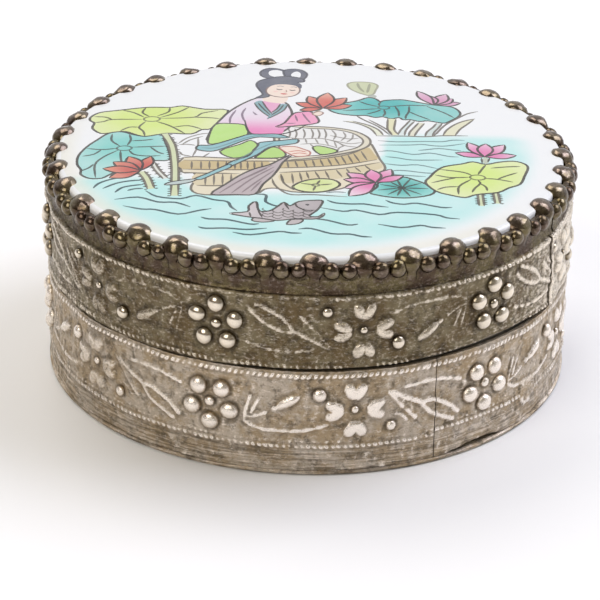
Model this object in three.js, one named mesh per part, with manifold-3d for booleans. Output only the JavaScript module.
// Round trinket box of embossed sheet metal, with a lift-off lid that carries a painted porcelain disc
// held by a crown of beaded prongs.
//
// Millimetres, +Z up. The origin is the centre of the underside, where the box stands.
// Angles are degrees round +Z from +X; the painted scene is upright when seen from -Y.

import * as THREE from 'three';
import { mergeVertices } from 'three/addons/utils/BufferGeometryUtils.js';
import Module from 'manifold-3d';

const wasm = await Module();
wasm.setup();

// ---- Driving dimensions -------------------------------------------------------------------------

const OUTER_RADIUS = 32;          // over the rope borders of both bands
const OVERALL_HEIGHT = 27;        // underside to the tops of the prong heads
const RING_SEGMENTS = 72;         // facets round every turned piece, two to a prong

const BAND_RELIEF = 0.3;          // how far a rope border stands out of the plain strip
const BAND_THICKNESS = 0.45;      // plain strip
const LID_PLAY = 0.25;            // radial clearance between the lid's band and the inner collar
const SHEET_THICKNESS = 0.6;      // bottom plate, collar and lid plate
const SEATING_GAP = 0.05;         // solder line between two pieces that rest on each other

const BASE_TOP = 13.2;            // upper edge of the base band
const BASE_BORDERS = [[3.4, 4.2], [12.2, 13.1]];      // lower and upper edge of each rope border
const COLLAR_TOP = 17.5;          // upper edge of the inner collar, which the lid slips over
const LID_GAP = 0.25;             // between the base band and the lid band when the box is shut
const LID_BORDERS = [[13.5, 14.25], [21.8, 22.5]];
const LID_BAND_TOP = 22.55;       // upper edge of the lid band, where the crown rises out of it
const LID_PLATE_HEIGHT = 21;      // underside of the plate that closes the lid from below

const CROWN_STRIP_BOTTOM = 21.7;  // the crown's plain strip, which stands inside the lid band
const CROWN_STRIP_TOP = 25.1;
const PRONGS = 36;
const PRONG_START = 1.3;          // angle of the first prong
const PRONG_ROOT = 0.5;           // how far a prong's stem starts inside the strip
const STEM_WIDTH = 1.15;
const HEAD_RADIUS = 30;           // circle through the centres of the prong heads
const HEAD_SIZE = [1.35, 1.6, 1.05];   // half axes: radial, tangential, vertical
const BEAD_SIZE = [0.55, 0.88, 0.88];  // half axes of the small beads, in pairs between the stems
const BEAD_SPREAD = 1.75;         // angle of each bead either side of the middle of the gap
const BEAD_HEIGHT = 25.35;        // centres of the small beads

const PORCELAIN_RADIUS = 30.45;   // edge of the disc
const PORCELAIN_UNDERSIDE = 23.4;
const PORCELAIN_RIM_TOP = 26.5;   // where the rounded shoulder meets the domed face
const PORCELAIN_SHOULDER = 0.9;   // radius of the rounded rim
const PORCELAIN_CENTRE = 27;      // top of the dome
const GRIP_CLEARANCE = 0.1;       // between the porcelain and the metal folded over it
const SETTING_PLAY = 0.2;         // between the porcelain's edge and the crown's bore

const LID_SEAM_ANGLE = 332;       // open joint where the ends of the lid band meet
const CROWN_SEAM_ANGLE = 334.6;   // the same in the crown, just past a prong
const LID_SEAM_WIDTH = 0.4;       // of both open joints
const BASE_SEAM_ANGLE = 297.5;    // butt joint of the base band, soldered to the collar behind it
const BASE_SEAM_WIDTH = 0.15;

// ---- Worked out from them -----------------------------------------------------------------------

const BAND_RADIUS = OUTER_RADIUS - BAND_RELIEF;
const BAND_BORE = BAND_RADIUS - BAND_THICKNESS;
const COLLAR_RADIUS = BAND_BORE - LID_PLAY;
const BASE_BAND_BOTTOM = SHEET_THICKNESS + SEATING_GAP;
const LID_BAND_BOTTOM = BASE_TOP + LID_GAP;
const LID_PLATE_TOP = LID_PLATE_HEIGHT + SHEET_THICKNESS;
const CROWN_RADIUS = BAND_BORE - SEATING_GAP;
const CROWN_BORE = PORCELAIN_RADIUS + SETTING_PLAY;
const CROWN_THICKNESS = CROWN_RADIUS - CROWN_BORE;
const HEAD_HEIGHT = OVERALL_HEIGHT - HEAD_SIZE[2];

// ---- Geometry helpers ---------------------------------------------------------------------------

// A closed geometry as a manifold solid, with its shared corners merged and flat slivers dropped.
function solidFrom(geometry) {
    const weldDistance = 1e-4;
    const bare = geometry.clone();
    bare.deleteAttribute('normal');
    bare.deleteAttribute('uv');
    const merged = mergeVertices(bare, weldDistance);
    const corners = [];
    for (let i = 0; i < merged.index.count; i += 3) {
        const [a, b, c] = [0, 1, 2].map((k) => merged.index.getX(i + k));
        if (a !== b && b !== c && c !== a) {
            corners.push(a, b, c);
        }
    }
    return new wasm.Manifold(new wasm.Mesh({
        numProp: 3,
        vertProperties: new Float32Array(merged.attributes.position.array),
        triVerts: new Uint32Array(corners),
    }));
}

// A manifold solid as a geometry with flat-shaded faces.
function geometryFrom(solid) {
    const mesh = solid.getMesh();
    const geometry = new THREE.BufferGeometry();
    geometry.setAttribute('position', new THREE.BufferAttribute(mesh.vertProperties, 3));
    geometry.setIndex(new THREE.BufferAttribute(mesh.triVerts, 1));
    geometry.computeVertexNormals();
    return geometry;
}

// Turns a closed [radius, height] profile about +Z. The profile climbs its outer side.
function turned(profile) {
    const points = profile.map(([radius, height]) => new THREE.Vector2(radius, height));
    const geometry = new THREE.LatheGeometry(points, RING_SEGMENTS);
    geometry.rotateX(Math.PI / 2);
    return solidFrom(geometry);
}

function turnedRing(profile) {
    return turned([...profile, profile[0]]);
}

// A point at an angle on a circle about +Z.
function onCircle(radius, angle, height) {
    const turn = THREE.MathUtils.degToRad(angle);
    return new THREE.Vector3(radius * Math.cos(turn), radius * Math.sin(turn), height);
}

// Puts a shape modelled with +X pointing outwards at an angle on a circle about +Z.
function placed(geometry, radius, angle, height) {
    const at = onCircle(radius, angle, height);
    geometry.rotateZ(THREE.MathUtils.degToRad(angle));
    geometry.translate(at.x, at.y, at.z);
    return solidFrom(geometry);
}

// An upright radial slit right through a ring's wall, over its whole height.
function seamSlit(angle, width) {
    const depth = 6;
    const slit = new THREE.BoxGeometry(depth, width, 4 * OVERALL_HEIGHT);
    return placed(slit, OUTER_RADIUS, angle, 0);
}

// The corners of a raised border between two heights of a band.
function border([bottom, top]) {
    const bevel = 0.2;
    return [
        [BAND_RADIUS, bottom],
        [OUTER_RADIUS, bottom + bevel],
        [OUTER_RADIUS, top - bevel],
        [BAND_RADIUS, top],
    ];
}

// ---- Base ---------------------------------------------------------------------------------------

// Flat disc that closes the base, its edge a thin lip under the band.
function basePlate() {
    const setback = 0.1;
    const chamfer = 0.15;
    const lip = OUTER_RADIUS - setback;
    return turned([
        [0, 0],
        [lip - chamfer, 0],
        [lip, chamfer],
        [lip, SHEET_THICKNESS],
        [0, SHEET_THICKNESS],
    ]);
}

// Embossed strip bent to a ring, with a plain skirt below and a rope border along each edge of the
// embossed field.
function baseBand() {
    const ring = turnedRing([
        [BAND_BORE, BASE_BAND_BOTTOM],
        [BAND_RADIUS, BASE_BAND_BOTTOM],
        ...BASE_BORDERS.flatMap(border),
        [BAND_RADIUS, BASE_TOP],
        [BAND_BORE, BASE_TOP],
    ]);
    return ring.subtract(seamSlit(BASE_SEAM_ANGLE, BASE_SEAM_WIDTH));
}

// Plain ring soldered inside the base band. It stands proud of it, and the lid slips over it.
function innerCollar() {
    const lead = 0.2;
    return turnedRing([
        [COLLAR_RADIUS - SHEET_THICKNESS, BASE_BAND_BOTTOM],
        [COLLAR_RADIUS, BASE_BAND_BOTTOM],
        [COLLAR_RADIUS, COLLAR_TOP - lead],
        [COLLAR_RADIUS - lead, COLLAR_TOP],
        [COLLAR_RADIUS - SHEET_THICKNESS, COLLAR_TOP],
    ]);
}

// ---- Lid ----------------------------------------------------------------------------------------

// Embossed strip bent to a ring with a rope border along each edge. Its ends leave an open seam.
function lidBand() {
    const ring = turnedRing([
        [BAND_BORE, LID_BAND_BOTTOM],
        [BAND_RADIUS, LID_BAND_BOTTOM],
        ...LID_BORDERS.flatMap(border),
        [BAND_RADIUS, LID_BAND_TOP],
        [BAND_BORE, LID_BAND_TOP],
    ]);
    return ring.subtract(seamSlit(LID_SEAM_ANGLE, LID_SEAM_WIDTH));
}

// Disc that closes the lid from below and carries the porcelain's bed.
function lidPlate() {
    return turned([
        [0, LID_PLATE_HEIGHT],
        [CROWN_RADIUS, LID_PLATE_HEIGHT],
        [CROWN_RADIUS, LID_PLATE_TOP],
        [0, LID_PLATE_TOP],
    ]);
}

// Packing that fills the lid under the porcelain and presses it up against the prongs.
function porcelainBed() {
    return turned([
        [0, LID_PLATE_TOP + SEATING_GAP],
        [PORCELAIN_RADIUS, LID_PLATE_TOP + SEATING_GAP],
        [PORCELAIN_RADIUS, PORCELAIN_UNDERSIDE - SEATING_GAP],
        [0, PORCELAIN_UNDERSIDE - SEATING_GAP],
    ]);
}

// Outline of the porcelain grown by a clearance: flat below, rounded at the rim and domed on top.
function porcelainProfile(clearance, shoulderSteps, domeSteps) {
    const rim = PORCELAIN_RADIUS - PORCELAIN_SHOULDER;
    const shoulderRadius = PORCELAIN_SHOULDER + clearance;
    const shoulderCentre = PORCELAIN_RIM_TOP - PORCELAIN_SHOULDER;
    const profile = [
        [0, PORCELAIN_UNDERSIDE - clearance],
        [PORCELAIN_RADIUS + clearance, PORCELAIN_UNDERSIDE - clearance],
    ];
    for (let i = 0; i <= shoulderSteps; i++) {
        const turn = (i / shoulderSteps) * (Math.PI / 2);
        profile.push([
            rim + shoulderRadius * Math.cos(turn),
            shoulderCentre + shoulderRadius * Math.sin(turn),
        ]);
    }
    for (let i = 1; i <= domeSteps; i++) {
        const share = 1 - i / domeSteps;
        const rise = (PORCELAIN_CENTRE - PORCELAIN_RIM_TOP) * (1 - share * share);
        profile.push([rim * share, PORCELAIN_RIM_TOP + clearance + rise]);
    }
    return profile;
}

function porcelainDisc() {
    return turned(porcelainProfile(0, 4, 4));
}

// An ellipsoid from its half axes: radial, tangential and vertical.
function bead(halfAxes, sides, tiers) {
    const geometry = new THREE.SphereGeometry(1, sides, tiers);
    geometry.rotateX(Math.PI / 2);
    geometry.scale(...halfAxes);
    return geometry;
}

// One prong: a flat stem and a bead-like head that folds over the porcelain's rim.
function prong(angle) {
    const stemBottom = CROWN_STRIP_TOP - PRONG_ROOT;
    const stemLength = HEAD_HEIGHT - stemBottom;
    const stem = new THREE.BoxGeometry(CROWN_THICKNESS, STEM_WIDTH, stemLength);
    const wallMiddle = CROWN_RADIUS - CROWN_THICKNESS / 2;
    return placed(stem, wallMiddle, angle, stemBottom + stemLength / 2)
        .add(placed(bead(HEAD_SIZE, 8, 4), HEAD_RADIUS, angle, HEAD_HEIGHT));
}

function smallBead(angle) {
    return placed(bead(BEAD_SIZE, 6, 3), CROWN_RADIUS, angle, BEAD_HEIGHT);
}

// Gallery strip set inside the top of the lid band: a plain ring, its prongs, and two small beads
// in each gap. It is cut clear of the porcelain that it grips, and open at the lid's seam.
function crownBezel() {
    let crown = turnedRing([
        [CROWN_BORE, CROWN_STRIP_BOTTOM],
        [CROWN_RADIUS, CROWN_STRIP_BOTTOM],
        [CROWN_RADIUS, CROWN_STRIP_TOP],
        [CROWN_BORE, CROWN_STRIP_TOP],
    ]);
    const pitch = 360 / PRONGS;
    for (let i = 0; i < PRONGS; i++) {
        const angle = PRONG_START + i * pitch;
        const gapMiddle = angle + pitch / 2;
        crown = crown.add(prong(angle));
        crown = crown.add(smallBead(gapMiddle - BEAD_SPREAD));
        crown = crown.add(smallBead(gapMiddle + BEAD_SPREAD));
    }
    return crown
        .subtract(turned(porcelainProfile(GRIP_CLEARANCE, 2, 1)))
        .subtract(seamSlit(CROWN_SEAM_ANGLE, LID_SEAM_WIDTH));
}

// ---- Materials ----------------------------------------------------------------------------------

const baseSilver = new THREE.MeshStandardMaterial({ color: 0xa79c90, roughness: 0.42, metalness: 1 });
const lidSilver = new THREE.MeshStandardMaterial({ color: 0x8c8070, roughness: 0.42, metalness: 1 });
const darkSilver = new THREE.MeshStandardMaterial({ color: 0x5a4b42, roughness: 0.25, metalness: 1 });
const plainBrass = new THREE.MeshStandardMaterial({ color: 0xb49a62, roughness: 0.4, metalness: 1 });
const plaster = new THREE.MeshStandardMaterial({ color: 0xd8d0c0, roughness: 0.9, metalness: 0 });
const porcelain = new THREE.MeshStandardMaterial({ color: 0xf1f3f2, roughness: 0.15, metalness: 0 });

// ---- Assembly -----------------------------------------------------------------------------------

const pieces = [
    ['base_plate', basePlate, baseSilver],
    ['base_band', baseBand, baseSilver],
    ['inner_collar', innerCollar, plainBrass],
    ['lid_band', lidBand, lidSilver],
    ['lid_plate', lidPlate, plainBrass],
    ['crown_bezel', crownBezel, darkSilver],
    ['porcelain_bed', porcelainBed, plaster],
    ['porcelain_disc', porcelainDisc, porcelain],
];

const box = new THREE.Group();
for (const [name, build, material] of pieces) {
    const mesh = new THREE.Mesh(geometryFrom(build()), material);
    mesh.name = name;
    box.add(mesh);
}

export default box;
